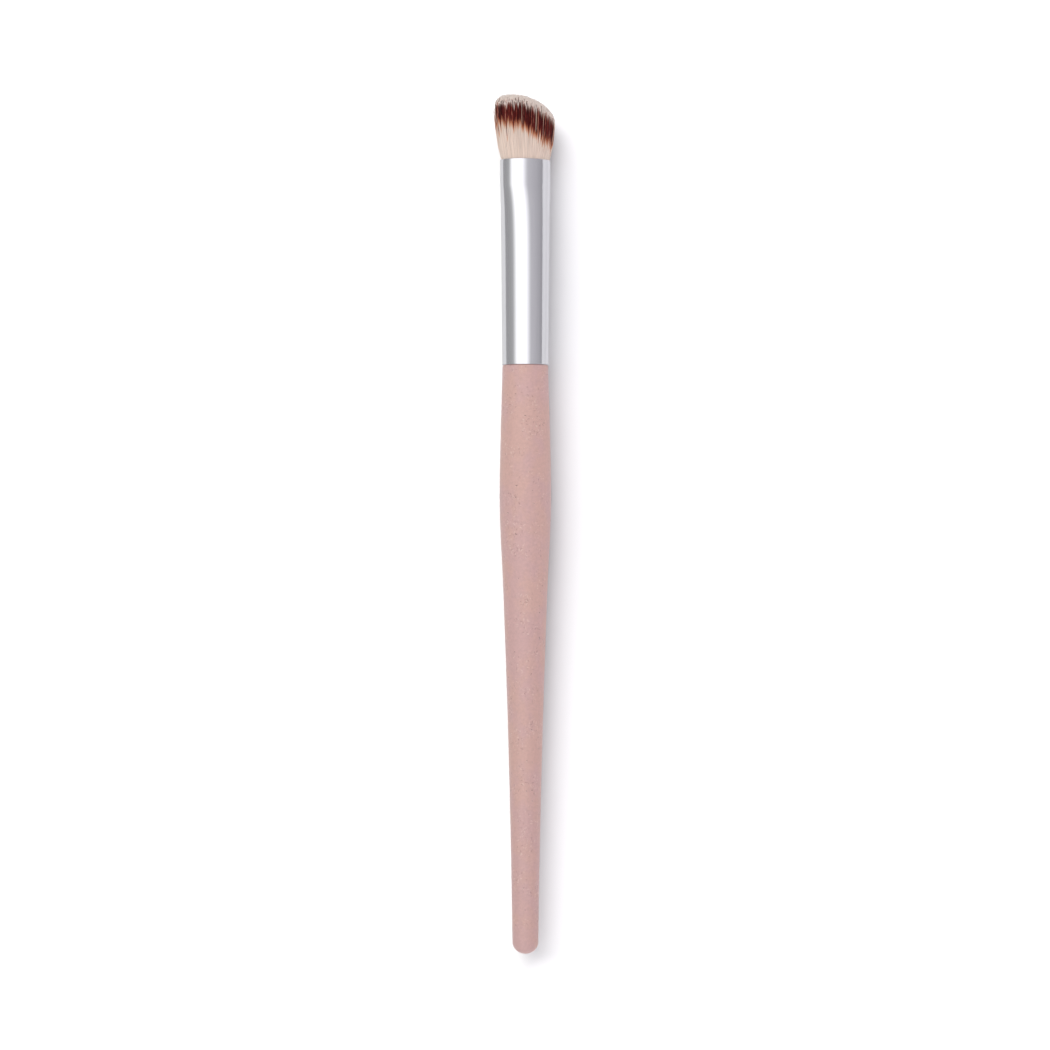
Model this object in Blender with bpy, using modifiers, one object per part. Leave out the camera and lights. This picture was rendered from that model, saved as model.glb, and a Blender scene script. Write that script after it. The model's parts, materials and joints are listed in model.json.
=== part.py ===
"""An angled makeup brush, lying on a table: a moulded handle, a pressed tube ferrule and a slanted tuft.

Every piece is modelled upright on the brush's own axis. There +Z runs from the butt to the bristle tips,
z = 0 is the base of the ferrule, where it meets the handle's shoulder, and X runs along the long axis of
the ferrule's oval mouth, with the long side of the tuft at -X. One empty then lays the whole brush down
along +Y, on its belly and its tuft, with the origin under the middle of it.
"""

import math
import random

import bmesh
import bpy
import numpy as np

MM = 0.001

# Handle: each stretch runs from the one before it, starting at the shoulder.
SHOULDER_RADIUS = 4.51 * MM
NECK_LENGTH = 26.0 * MM
BELLY_RADIUS = 5.08 * MM
GRIP_LENGTH = 19.0 * MM
GRIP_END_RADIUS = 4.34 * MM
SHANK_LENGTH = 26.0 * MM
SHANK_END_RADIUS = 3.46 * MM
TAIL_LENGTH = 28.4 * MM
TAIL_END_RADIUS = 2.78 * MM
END_LENGTH = 14.6 * MM
END_RADIUS = 2.56 * MM
BUTT_ROUNDING = 2.3 * MM
SHOULDER_ROUNDING = 0.25 * MM

# Tenon: the part of the handle inside the ferrule, with grooves along it that key the glue. It reaches up to
# a space of air below the plug that closes the tuft's root.
NOSE_SPACE = 3.3 * MM
TENON_FIT = 0.12 * MM
TENON_CHAMFER = 0.6 * MM
GROOVES = 3
GROOVE_WIDTH = 1.2 * MM
GROOVE_DEPTH = 0.5 * MM
SEAT_GAP = 0.1 * MM
GLUE_GAP = 0.05 * MM

# Ferrule: a round tube that widens towards its mouth, with a lip crimped tighter and pressed to an oval. The
# press dies away below the lip, to a third in each run-out.
FERRULE_LENGTH = 40.4 * MM
FERRULE_RADIUS = 4.58 * MM
FERRULE_WIDENING = 0.335 * MM
FERRULE_WALL = 0.25 * MM
LIP_LENGTH = 5.1 * MM
LIP_PRESS = 0.48 * MM
LIP_CRIMP = 0.17 * MM
PRESS_RUNOUT = 4.0 * MM

# Tuft: the bonded root inside the ferrule and the filaments above it.
ROOT_DEPTH = 1.0 * MM
ROOT_LENGTH = 13.0 * MM
ROOT_FIT = 0.15 * MM
ROOT_CHAMFER = 0.4 * MM
TUFT_HEIGHT = 13.1 * MM
CREST_OFFSET = 3.1 * MM
CREST_RADIUS_LONG = 9.1 * MM
CREST_RADIUS_SHORT = 11.2 * MM
SLANT = 1.07
RIM_WIDTH = 0.21
RIM_DROP = 0.9 * MM
RIM_POWER = 2.5
FLARE = 0.32
FLARE_LENGTH = 5.4 * MM
STRAND_PITCH = 0.415 * MM
STRAND_RADIUS = 0.167 * MM
STRAND_ROOM = 0.06 * MM
STRAND_SUNK = 0.2 * MM
STRAND_SHIFT = 0.02 * MM
TIP_SCATTER = 0.25 * MM
BAND_TOP = 0.95 * MM
BAND_BOTTOM = 5.5 * MM
BAND_SCATTER = 0.35 * MM

# Thread wound round the root, in a waist that it has pulled in.
THREAD_RADIUS = 0.15 * MM
THREAD_PITCH = 0.8 * MM
THREAD_TURNS = 3.5
THREAD_GAP = 0.06 * MM
WAIST_ABOVE_ROOT_END = 5.5 * MM

# Plug of cured epoxy behind the root.
PLUG_LENGTH = 5.0 * MM
PLUG_FIT = 0.1 * MM
PLUG_MENISCUS = 0.5 * MM

# How the brush lies: the oval's broad face looks this far to +X of straight up.
ROLL = math.radians(30)

ROUND_SIDES = 48
HANDLE_SIDES = 24
STRETCH_STEPS = 3
ARC_STEPS = 4
FERRULE_STEPS = 5
PRESS_STEPS = 6
PRESS_RUNOUTS = 3
POINTS_PER_TURN = 24
SEED = 7


def linear(red, green, blue):
    """The linear colour of an sRGB one in 0 to 255."""
    return tuple(((c / 255 + 0.055) / 1.055) ** 2.4 for c in (red, green, blue))


def material(name, colour, roughness, metallic=0.0):
    made = bpy.data.materials.new(name)
    made.use_nodes = True
    shader = made.node_tree.nodes["Principled BSDF"]
    shader.inputs["Base Color"].default_value = (*colour, 1)
    shader.inputs["Roughness"].default_value = roughness
    shader.inputs["Metallic"].default_value = metallic
    return made


def smooth_through(stations):
    """A function of x through the (x, y) stations, x rising, with no overshoot between them."""
    xs, ys = zip(*stations)
    slopes = [(ys[i + 1] - ys[i]) / (xs[i + 1] - xs[i]) for i in range(len(xs) - 1)]
    ends = [slopes[0]]
    for before, after in zip(slopes, slopes[1:]):
        ends.append(0.0 if before * after <= 0 else 2 * before * after / (before + after))
    ends.append(slopes[-1])

    def value(x):
        i = min(max(sum(x >= station for station in xs) - 1, 0), len(slopes) - 1)
        step = xs[i + 1] - xs[i]
        t = (x - xs[i]) / step
        return (
            (1 + 2 * t) * (1 - t) ** 2 * ys[i]
            + t * (1 - t) ** 2 * step * ends[i]
            + t * t * (3 - 2 * t) * ys[i + 1]
            + t * t * (t - 1) * step * ends[i + 1]
        )

    return value


def oval(half_long, half_short, z):
    """One ring of points, counter-clockwise seen from above."""
    turns = [2 * math.pi * i / ROUND_SIDES for i in range(ROUND_SIDES)]
    return [(half_long * math.cos(t), half_short * math.sin(t), z) for t in turns]


def skin(bm, rings, closed=False, slots=None):
    """Faces from each ring to the next. The ends are capped, or joined to each other if closed."""
    made = [[bm.verts.new(point) for point in ring] for ring in rings]
    pairs = list(zip(made, made[1:] + made[:1])) if closed else list(zip(made, made[1:]))
    for number, (lower, upper) in enumerate(pairs):
        for i in range(len(lower)):
            j = (i + 1) % len(lower)
            over = [upper[j], upper[i]] if len(upper) > 1 else upper
            face = bm.faces.new([lower[i], lower[j], *over])
            face.material_index = slots[number] if slots else 0
    if not closed:
        bm.faces.new(reversed(made[0]))
        if len(made[-1]) > 1:
            bm.faces.new(made[-1])


def body(name, bm, collection, materials, parent=None):
    """The object that holds the bmesh, shaded smooth between its sharp edges."""
    mesh = bpy.data.meshes.new(name)
    bm.to_mesh(mesh)
    bm.free()
    for each in materials:
        mesh.materials.append(each)
    mesh.shade_smooth()
    mesh.set_sharp_from_angle(angle=math.radians(35))
    made = bpy.data.objects.new(name, mesh)
    collection.objects.link(made)
    made.parent = parent
    return made


def ferrule_half_axes(z, inset=0.0):
    """Half the long and the short width of the ferrule at this height, less an inset.

    The press moves metal from the short axis to the long one, and the crimp draws the whole girth in.
    """
    pressed = math.exp(min(z - lip_start(), 0.0) / PRESS_RUNOUT)
    middle = FERRULE_RADIUS + FERRULE_WIDENING * z / FERRULE_LENGTH - LIP_CRIMP * pressed
    return middle + LIP_PRESS * pressed - inset, middle - LIP_PRESS * pressed - inset


def lip_start():
    return FERRULE_LENGTH - LIP_LENGTH


def plug_span():
    """(bottom, top) of the plug behind the root."""
    top = FERRULE_LENGTH - ROOT_DEPTH - ROOT_LENGTH - PLUG_FIT
    return top - PLUG_LENGTH, top


def tenon_length():
    return plug_span()[0] - NOSE_SPACE


def tenon_radius():
    """The tenon is straight, and as thick as goes in at the base and past the start of the press."""
    return min(ferrule_half_axes(z, FERRULE_WALL + TENON_FIT)[1] for z in (0.0, tenon_length()))


def groove_spans():
    """The (bottom, top) of each glue groove, evenly spread along the tenon."""
    pitch = tenon_length() / GROOVES
    middles = [pitch * (number + 0.5) for number in range(GROOVES)]
    return [(middle - GROOVE_WIDTH / 2, middle + GROOVE_WIDTH / 2) for middle in middles]


def handle_outline():
    """(radius, z) down the visible handle, from the rim of its shoulder to the tip of its butt."""
    stretches = (
        (NECK_LENGTH, BELLY_RADIUS),
        (GRIP_LENGTH, GRIP_END_RADIUS),
        (SHANK_LENGTH, SHANK_END_RADIUS),
        (TAIL_LENGTH, TAIL_END_RADIUS),
        (END_LENGTH, END_RADIUS),
    )
    stations = [(0.0, SHOULDER_RADIUS)]
    for length, radius in stretches:
        stations.append((stations[-1][0] + length, radius))
    radius_at = smooth_through(stations)
    quarter = [math.pi / 2 * i / ARC_STEPS for i in range(ARC_STEPS + 1)]
    shoulder = [
        (
            radius_at(SHOULDER_ROUNDING) - SHOULDER_ROUNDING * (1 - math.sin(turn)),
            -SEAT_GAP - SHOULDER_ROUNDING * (1 - math.cos(turn)),
        )
        for turn in quarter
    ]
    side = []
    for (start, _), (end, _) in zip(stations, stations[1:]):
        start = max(start, SHOULDER_ROUNDING)
        for step in range(1, STRETCH_STEPS + 1):
            below = start + (end - start) * step / STRETCH_STEPS
            side.append((radius_at(below), -SEAT_GAP - below))
    length = stations[-1][0]
    butt = [
        (END_RADIUS * math.cos(turn), -SEAT_GAP - length - BUTT_ROUNDING * math.sin(turn))
        for turn in quarter[1:-1]
    ]
    tip = (0.0, -SEAT_GAP - length - BUTT_ROUNDING)
    return shoulder + side + butt + [tip]


def tenon_outline():
    """(radius, z) down the tenon, from the middle of its nose to the shoulder."""
    length, radius = tenon_length(), tenon_radius()
    points = [(0.0, length), (radius - TENON_CHAMFER, length), (radius, length - TENON_CHAMFER)]
    floor = radius - GROOVE_DEPTH
    for bottom, top in reversed(groove_spans()):
        points += [(radius, top), (floor, top), (floor, bottom), (radius, bottom)]
    return points + [(radius, -SEAT_GAP)]


def turned(name, outline, collection, surface, parent):
    """A solid of revolution from an outline that runs down from the axis and back to it."""
    mesh = bpy.data.meshes.new(name)
    edges = [(i, i + 1) for i in range(len(outline) - 1)]
    mesh.from_pydata([(radius, 0, z) for radius, z in outline], edges, [])
    mesh.materials.append(surface)
    made = bpy.data.objects.new(name, mesh)
    collection.objects.link(made)
    made.parent = parent
    screw = made.modifiers.new("Turn", "SCREW")
    screw.steps = screw.render_steps = HANDLE_SIDES
    screw.use_merge_vertices = True
    screw.merge_threshold = 0.00001
    screw.use_smooth_shade = True
    return made


def make_handle(collection, parent):
    surface = material("dusty pink composite", linear(206, 170, 164), 0.62)
    return turned("handle", tenon_outline() + handle_outline(), collection, surface, parent)


def make_glue_rings(collection, parent):
    """Adhesive set in the tenon's grooves, out to the ferrule's wall."""
    surface = material("set adhesive", linear(214, 205, 178), 0.4)
    for number, span in enumerate(groove_spans(), start=1):
        bottom, top = span[0] + GLUE_GAP, span[1] - GLUE_GAP
        inner = tenon_radius() - GROOVE_DEPTH + GLUE_GAP
        low, high = (ferrule_half_axes(z, FERRULE_WALL + GLUE_GAP)[1] for z in (bottom, top))
        corners = ((low, bottom), (high, top), (inner, top), (inner, bottom))
        bm = bmesh.new()
        skin(bm, [oval(radius, radius, z) for radius, z in corners], closed=True)
        body(f"glue_ring_{number}", bm, collection, [surface], parent)


def ferrule_heights():
    """Even steps up the plain stretch, closer ones through the press, then the two ends of the lip."""
    start = lip_start() - PRESS_RUNOUTS * PRESS_RUNOUT
    plain = [start * i / FERRULE_STEPS for i in range(FERRULE_STEPS)]
    pressed = [start + (lip_start() - start) * i / PRESS_STEPS for i in range(PRESS_STEPS + 1)]
    return plain + pressed + [FERRULE_LENGTH]


def make_ferrule(collection, parent):
    heights = ferrule_heights()
    outside = [oval(*ferrule_half_axes(z), z) for z in heights]
    inside = [oval(*ferrule_half_axes(z, FERRULE_WALL), z) for z in reversed(heights)]
    bm = bmesh.new()
    skin(bm, outside + inside, closed=True)
    body("ferrule", bm, collection, [material("polished aluminium", (0.83, 0.83, 0.85), 0.12, 1.0)], parent)


def spread(height):
    """How far the filaments have opened at this height above the mouth, against the mouth itself."""
    return 1 + FLARE * (1 - math.exp(-height / FLARE_LENGTH))


def tip_height(x, y, rim_share):
    """The cut, as height above the mouth. x and y are places at the mouth.

    Along the oval it is round at the crest and nears a straight slant, across the oval it is domed, and
    close to the rim it falls away.
    """
    across = x * (1 + FLARE) + CREST_OFFSET
    deep = y * (1 + FLARE)
    bend = CREST_RADIUS_LONG * SLANT**2
    slanted = math.hypot(bend, SLANT * across) - bend
    domed = deep**2 / (2 * CREST_RADIUS_SHORT)
    rim = max(0.0, (rim_share - (1 - RIM_WIDTH)) / RIM_WIDTH)
    return TUFT_HEIGHT - slanted - domed - RIM_DROP * rim**RIM_POWER


def evenly_round(half_long, half_short, pitch):
    """(x, y) places round an oval, a pitch apart along it."""
    turns = np.linspace(0, 2 * math.pi, 721)
    run = np.hypot(np.diff(half_long * np.cos(turns)), np.diff(half_short * np.sin(turns)))
    run = np.concatenate([[0], np.cumsum(run)])
    count = round(run[-1] / pitch)
    at = np.interp(np.arange(count) * run[-1] / count, run, turns)
    return [(half_long * math.cos(t), half_short * math.sin(t)) for t in at]


def strand_places():
    """(x, y, share of the way to the rim) at the mouth: one strand after another round the rim, and a
    close-packed grid inside it, each strand a little off its place."""
    chance = random.Random(SEED)
    half_long, half_short = ferrule_half_axes(FERRULE_LENGTH, FERRULE_WALL + STRAND_RADIUS + STRAND_ROOM)
    places = [(x, y, 1.0) for x, y in evenly_round(half_long, half_short, STRAND_PITCH)]
    row_pitch = STRAND_PITCH * math.sqrt(3) / 2
    rows, columns = int(half_long / row_pitch) + 1, int(half_short / STRAND_PITCH) + 1
    for row in range(-rows, rows + 1):
        for column in range(-columns, columns + 1):
            x = row * row_pitch + chance.uniform(-STRAND_SHIFT, STRAND_SHIFT)
            y = (column + 0.5 * (row % 2)) * STRAND_PITCH + chance.uniform(-STRAND_SHIFT, STRAND_SHIFT)
            if math.hypot(x / (half_long - row_pitch), y / (half_short - row_pitch)) <= 1:
                places.append((x, y, math.hypot(x / half_long, y / half_short)))
    return places


def strand_levels():
    """For each strand, its (x, y, height, radius) at the root, the foot and top of the band, and the tip."""
    chance = random.Random(SEED + 1)
    sunk = -ROOT_DEPTH - STRAND_SUNK
    strands = []
    for x, y, share in strand_places():
        tip = tip_height(x, y, share) + chance.uniform(-TIP_SCATTER, 0)
        foot = max(tip - BAND_BOTTOM + chance.uniform(-BAND_SCATTER, BAND_SCATTER), 0)
        top = tip - BAND_TOP + chance.uniform(-BAND_SCATTER, BAND_SCATTER)
        strand = []
        for height in (sunk, foot, top, tip):
            size = STRAND_RADIUS * spread(height) if height < tip else 0.0
            strand.append((x * spread(height), y * spread(height), height, size))
        strands.append(strand)
    return strands


def least_strand_gap(strands):
    """The least space between two strands, on levels 0.5 mm apart, taking each as its widest way across."""
    least = math.inf
    for height in np.arange(-ROOT_DEPTH, TUFT_HEIGHT, 0.5 * MM):
        cuts = []
        for strand in strands:
            levels = [point[2] for point in strand]
            if levels[-1] > height:
                cuts.append([np.interp(height, levels, [point[k] for point in strand]) for k in (0, 1, 3)])
        if len(cuts) < 2:
            break
        x, y, radius = np.array(cuts).T
        apart = np.hypot(x[:, None] - x, y[:, None] - y) - math.sqrt(3) / 2 * (radius[:, None] + radius)
        least = min(least, apart[np.triu_indices(len(cuts), 1)].min())
    return least


def make_bonded_root(collection, parent):
    """The filaments' roots, bonded to one solid and drawn in at the waist where the thread goes round."""
    top = FERRULE_LENGTH - ROOT_DEPTH
    bottom = top - ROOT_LENGTH
    half_waist = (THREAD_TURNS * THREAD_PITCH) / 2 + THREAD_RADIUS + THREAD_GAP
    waist = bottom + WAIST_ABOVE_ROOT_END
    full = FERRULE_WALL + ROOT_FIT
    drawn = full + waist_depth()
    heights, insets = zip(
        (bottom, full + ROOT_CHAMFER),
        (bottom + ROOT_CHAMFER, full),
        (waist - half_waist - waist_depth(), full),
        (waist - half_waist, drawn),
        (waist + half_waist, drawn),
        (waist + half_waist + waist_depth(), full),
        (top, full),
    )
    bends = [z for z in (lip_start(),) if bottom < z < top]
    stations = sorted([*heights, *bends])
    bm = bmesh.new()
    skin(bm, [oval(*ferrule_half_axes(z, np.interp(z, heights, insets)), z) for z in stations])
    root = body("bonded root", bm, collection, [], parent)
    root.hide_render = True
    root.display_type = "WIRE"
    return root


def waist_depth():
    """Deep enough that the thread clears the ferrule as well as the root."""
    return 2 * (THREAD_RADIUS + THREAD_GAP)


def make_tuft(collection, cutters, parent):
    surfaces = [
        material("cream filament", linear(228, 205, 190), 0.55),
        material("brown filament", linear(95, 44, 36), 0.55),
        material("pale filament", linear(205, 190, 180), 0.55),
    ]
    strands = strand_levels()
    bm = bmesh.new()
    for strand in strands:
        rings = []
        for x, y, height, radius in strand:
            turns = [math.pi / 6 + 2 * math.pi * i / 3 for i in range(3)] if radius else [0.0]
            rings.append(
                [(x + radius * math.cos(t), y + radius * math.sin(t), FERRULE_LENGTH + height) for t in turns]
            )
        skin(bm, rings, slots=(0, 1, 2))
    tuft = body("bristle_tuft", bm, collection, surfaces, parent)
    union = tuft.modifiers.new("Bond", "BOOLEAN")
    union.operation = "UNION"
    union.object = make_bonded_root(cutters, parent)
    print(f"{len(strands)} strands, least gap {least_strand_gap(strands) / MM:.3f} mm")


def make_tie_thread(collection, parent):
    """One thread wound round the waist of the root, lying just clear of it."""
    middle = FERRULE_LENGTH - ROOT_DEPTH - ROOT_LENGTH + WAIST_ABOVE_ROOT_END
    inset = FERRULE_WALL + ROOT_FIT + waist_depth() - THREAD_RADIUS - THREAD_GAP
    count = int(THREAD_TURNS * POINTS_PER_TURN) + 1
    points = []
    for i in range(count):
        turn = 2 * math.pi * i / POINTS_PER_TURN
        z = middle + (i / (count - 1) - 0.5) * THREAD_TURNS * THREAD_PITCH
        half_long, half_short = ferrule_half_axes(z, inset)
        points.append((half_long * math.cos(turn), half_short * math.sin(turn), z))
    curve = bpy.data.curves.new("tie_thread", "CURVE")
    curve.dimensions = "3D"
    curve.bevel_depth = THREAD_RADIUS
    curve.bevel_resolution = 1
    curve.use_fill_caps = True
    spline = curve.splines.new("POLY")
    spline.points.add(len(points) - 1)
    for point, place in zip(spline.points, points):
        point.co = (*place, 1)
    curve.materials.append(material("waxed thread", linear(232, 226, 214), 0.8))
    thread = bpy.data.objects.new("tie_thread", curve)
    collection.objects.link(thread)
    thread.parent = parent
    line = np.array(points)
    apart = np.linalg.norm(line[:, None] - line, axis=2)
    steps = np.abs(np.subtract.outer(range(count), range(count)))
    least = apart[steps > POINTS_PER_TURN // 2].min() - 2 * THREAD_RADIUS
    print(f"thread, least gap to itself {least / MM:.2f} mm")


def make_root_plug(collection, parent):
    """Epoxy poured in behind the root: flat against it, dished where it set open to the air."""
    bottom, top = plug_span()
    inset = FERRULE_WALL + PLUG_FIT
    rim = PLUG_MENISCUS + inset
    rings = [
        oval(*ferrule_half_axes(bottom, rim), bottom + PLUG_MENISCUS),
        oval(*ferrule_half_axes(bottom, inset), bottom),
        oval(*ferrule_half_axes(top, inset), top),
    ]
    bm = bmesh.new()
    skin(bm, rings)
    body("root_plug", bm, collection, [material("cured epoxy", linear(196, 178, 140), 0.25)], parent)


def downward_reach():
    """(reach, z) of what could touch the table: how far each part stands out below the brush's axis."""
    ferrule = [
        (math.hypot(half_long * math.sin(ROLL), half_short * math.cos(ROLL)), z)
        for z in ferrule_heights()
        for half_long, half_short in [ferrule_half_axes(z)]
    ]
    filaments = [
        (x * math.sin(ROLL) + y * math.cos(ROLL) + radius, FERRULE_LENGTH + height)
        for strand in strand_levels()
        for x, y, height, radius in strand
    ]
    return handle_outline() + ferrule + filaments


def rest_on_table():
    """(tilt, height of the axis at z = 0) as the brush lies, which is on its belly and its tuft.

    It balances just ahead of the belly, so the table is the line over all points that bridges the shoulder.
    """
    points = downward_reach()
    ahead = [(reach, z) for reach, z in points if z > 0]
    behind = [(reach, z) for reach, z in points if z < 0]
    slope, height = max(
        (
            ((fore - aft) / (fore_z - aft_z), aft - (fore - aft) / (fore_z - aft_z) * aft_z)
            for fore, fore_z in ahead
            for aft, aft_z in behind
        ),
        key=lambda line: line[1],
    )
    tilt = math.atan(slope)
    return tilt, height * math.cos(tilt)


def make_stand():
    """The empty that carries every piece and lays the brush down."""
    tilt, height = rest_on_table()
    butt = handle_outline()[-1][1]
    top = FERRULE_LENGTH + TUFT_HEIGHT
    stand = bpy.data.objects.new("brush", None)
    stand.rotation_mode = "ZYX"
    stand.rotation_euler = (tilt - math.pi / 2, 0, ROLL)
    stand.location = (0, -(butt + top) / 2 * math.cos(tilt), height)
    return stand


def main():
    for old in list(bpy.data.objects):
        bpy.data.objects.remove(old)
    pieces = bpy.data.collections.new("makeup brush")
    cutters = bpy.data.collections.new("cutters")
    for collection in (pieces, cutters):
        bpy.context.scene.collection.children.link(collection)
    stand = make_stand()
    pieces.objects.link(stand)
    make_handle(pieces, stand)
    make_glue_rings(pieces, stand)
    make_ferrule(pieces, stand)
    make_root_plug(pieces, stand)
    make_tie_thread(pieces, stand)
    make_tuft(pieces, cutters, stand)


main()
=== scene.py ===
"""The looks of an angled makeup brush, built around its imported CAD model.

Every piece is made upright on the brush's own axis, as its CAD source makes it: +Z runs from the butt to
the bristle tips, z = 0 is the base of the ferrule, and X runs along the long axis of the ferrule's oval
mouth, with the long side of the tuft at -X. LAID then puts a piece where the CAD model lies.
"""

import json
import math

import bmesh
import bpy
import numpy as np
from mathutils import Matrix, Vector

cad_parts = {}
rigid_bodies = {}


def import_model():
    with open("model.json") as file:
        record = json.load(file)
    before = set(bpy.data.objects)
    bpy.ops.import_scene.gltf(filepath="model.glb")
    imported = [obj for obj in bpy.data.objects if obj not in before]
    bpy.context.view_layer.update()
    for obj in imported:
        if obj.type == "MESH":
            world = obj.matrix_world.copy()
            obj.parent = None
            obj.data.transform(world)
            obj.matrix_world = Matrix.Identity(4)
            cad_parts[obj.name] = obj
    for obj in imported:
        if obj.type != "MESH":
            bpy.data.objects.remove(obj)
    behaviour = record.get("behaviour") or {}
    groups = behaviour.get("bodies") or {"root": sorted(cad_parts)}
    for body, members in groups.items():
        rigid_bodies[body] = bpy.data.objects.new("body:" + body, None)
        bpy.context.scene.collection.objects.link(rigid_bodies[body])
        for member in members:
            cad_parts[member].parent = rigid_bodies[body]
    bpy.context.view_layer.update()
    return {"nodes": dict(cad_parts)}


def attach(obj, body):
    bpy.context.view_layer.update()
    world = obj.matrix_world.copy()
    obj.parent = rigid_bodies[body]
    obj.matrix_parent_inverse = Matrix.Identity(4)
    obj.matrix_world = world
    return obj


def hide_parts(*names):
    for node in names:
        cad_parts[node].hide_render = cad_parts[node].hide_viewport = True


MM = 0.001

# How the brush lies, from the CAD source: the oval's turn, the slope of the axis, and where z = 0 is.
ROLL = math.radians(30)
TILT = 0.0026055
STAND = Vector((0, 31.45 * MM, 5.148 * MM))
LAID = (
    Matrix.Translation(STAND)
    @ Matrix.Rotation(TILT - math.pi / 2, 4, "X")
    @ Matrix.Rotation(ROLL, 4, "Z")
)

# Handle: (distance below the shoulder, radius), then the rounded ends and the tenon. It is from the CAD
# source, except that the shoulder is rounded less here and sits closer to the ferrule.
HANDLE_STATIONS = ((0, 4.51), (26, 5.08), (45, 4.34), (71, 3.46), (99.4, 2.78), (114, 2.56))
BUTT_ROUNDING = 2.3 * MM
SHOULDER_ROUNDING = 0.18 * MM
SEAT_GAP = 0.05 * MM
TENON_LENGTH = 18.0 * MM
TENON_FIT = 0.12 * MM
TENON_CHAMFER = 0.6 * MM
GROOVE_MIDDLES = (3.0 * MM, 9.0 * MM, 15.0 * MM)
GROOVE_WIDTH = 1.2 * MM
GROOVE_DEPTH = 0.5 * MM

# Ferrule, from the CAD source.
FERRULE_LENGTH = 40.4 * MM
FERRULE_RADIUS = 4.58 * MM
FERRULE_WIDENING = 0.335 * MM
FERRULE_WALL = 0.25 * MM
LIP_LENGTH = 5.1 * MM
LIP_START = FERRULE_LENGTH - LIP_LENGTH
LIP_PRESS = 0.48 * MM
LIP_CRIMP = 0.17 * MM
PRESS_RUNOUT = 4.0 * MM
PRESS_RUNOUTS = 3
FERRULE_EDGE = 0.09 * MM

# Tuft, from the CAD source.
ROOT_DEPTH = 1.0 * MM
ROOT_LENGTH = 13.0 * MM
ROOT_FIT = 0.15 * MM
ROOT_CHAMFER = 0.4 * MM
WAIST_ABOVE_ROOT_END = 5.5 * MM
WAIST_HALF_LENGTH = 1.61 * MM
WAIST_DEPTH = 0.42 * MM
TUFT_HEIGHT = 13.1 * MM
CREST_OFFSET = 3.1 * MM
CREST_RADIUS_LONG = 9.1 * MM
CREST_RADIUS_SHORT = 11.2 * MM
SLANT = 1.07
RIM_WIDTH = 0.21
RIM_DROP = 0.9 * MM
RIM_POWER = 2.5
FLARE = 0.32
FLARE_LENGTH = 5.4 * MM

# Filaments, finer and many more than the CAD model's strands. They keep clear of the ferrule by
# FILAMENT_ROOM, reach into the bonded root by FILAMENT_SUNK and stay FLOOR_ROOM above the floor.
SEED = 4
FILAMENT_PIECES = ("filaments_long", "filaments_middle", "filaments_short")
FILAMENT_PITCH = 0.11 * MM
FILAMENT_RADIUS = 0.063 * MM
FILAMENT_SIDES = 5
FILAMENT_ROOM = 0.02 * MM
FILAMENT_SUNK = 0.2 * MM
FLOOR_ROOM = 0.09 * MM
INNER_INSET = 0.9 * FILAMENT_PITCH
PLACE_SCATTER = 0.025 * MM

# A filament sways a little from side to side, by WANDER, through WANDER_TURN and from a start of its own.
WANDER = 0.045 * MM
WANDER_TURN = 3 * math.pi
WANDER_STARTS = (0, 6)

# The filaments of a clump drift together and are drawn up to CLUMP_PULL of the way to its middle.
CLUMP_PITCH = 0.27 * MM
CLUMP_SCATTER = 0.45 * CLUMP_PITCH
CLUMP_PULL = 0.12
LEAST_PULL = 0.2
CLUMP_DRIFT = 0.035 * MM
OWN_DRIFT = 0.05 * MM

# The tips end this far under the cut, and scatter further down by up to TIP_SCATTER.
TIP_SHY = 0.25 * MM
TIP_SCATTER = 0.6 * MM
TIP_POWER = 1.5

# The rings of a filament from root to tip: how thick, against its radius, and v on the map. Where the tuft
# opens, a filament thickens by this power of the opening, so that the ones behind stay hidden.
RING_THICKNESS = (1.1, 1.1, 1.1, 1.08, 1.04, 1, 0.94, 0.82, 0.45)
RING_V = (0.01, 0.05, 0.2, 0.35, 0.45, 0.6, 0.75, 0.87, 0.99)
OPENING_POWER = 0.6

# Where the rings in between lie, as shares of the cream part and of the pale cap. The dye starts BAND_FADE
# below the foot of the band, or FADE_LIMIT of the way to the mouth where that is less.
CREAM_RING = 0.4
CAP_RING = 0.45
FADE_LIMIT = 0.5

# The dark band, in mm below a filament's own tip, from the long side of the tuft (-1) to the short one (1).
# Towards the middle of the cut the pale cap grows deeper, by up to CAP_DEPTH.
BAND_TOPS = ((-1, 0.48), (-0.2, 0.64), (0.4, 0.8), (1, 1.05))
CAP_DEPTH = 2.4
BAND_BOTTOMS = ((-1, 3.3), (-0.6, 4.0), (-0.1, 4.85), (0.4, 4.9), (0.75, 4.6), (1, 4.2))

# How ragged the band's top and bottom are, in mm, from clump to clump and from filament to filament. Some
# filaments are dark further down, by FURTHER on average.
CLUMP_RAGGED = (0.08, 0.12)
OWN_RAGGED = (0.42, 0.4)
FURTHER_SHARE = 0.3
FURTHER = 0.5
BOTTOM_LIMITS = (2.4, 9.5)
LEAST_CAP = 0.12 * MM
LEAST_BAND = 0.4 * MM
LEAST_FOOT = 0.1 * MM
BAND_FADE = 1.2 * MM

# How well a filament took the dye, from 0, hardly at all, to 1, nearly black: the middle value, its spread
# from clump to clump and from filament to filament, and its limits.
DYE_MIDDLE = 0.58
DYE_SPREADS = (0.03, 0.22)
DYE_LIMITS = (0.14, 0.98)
STAINED_SHARE = 0.016
STAINED_DYE = 0.05
HANGING_DYE = 0.5

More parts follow.
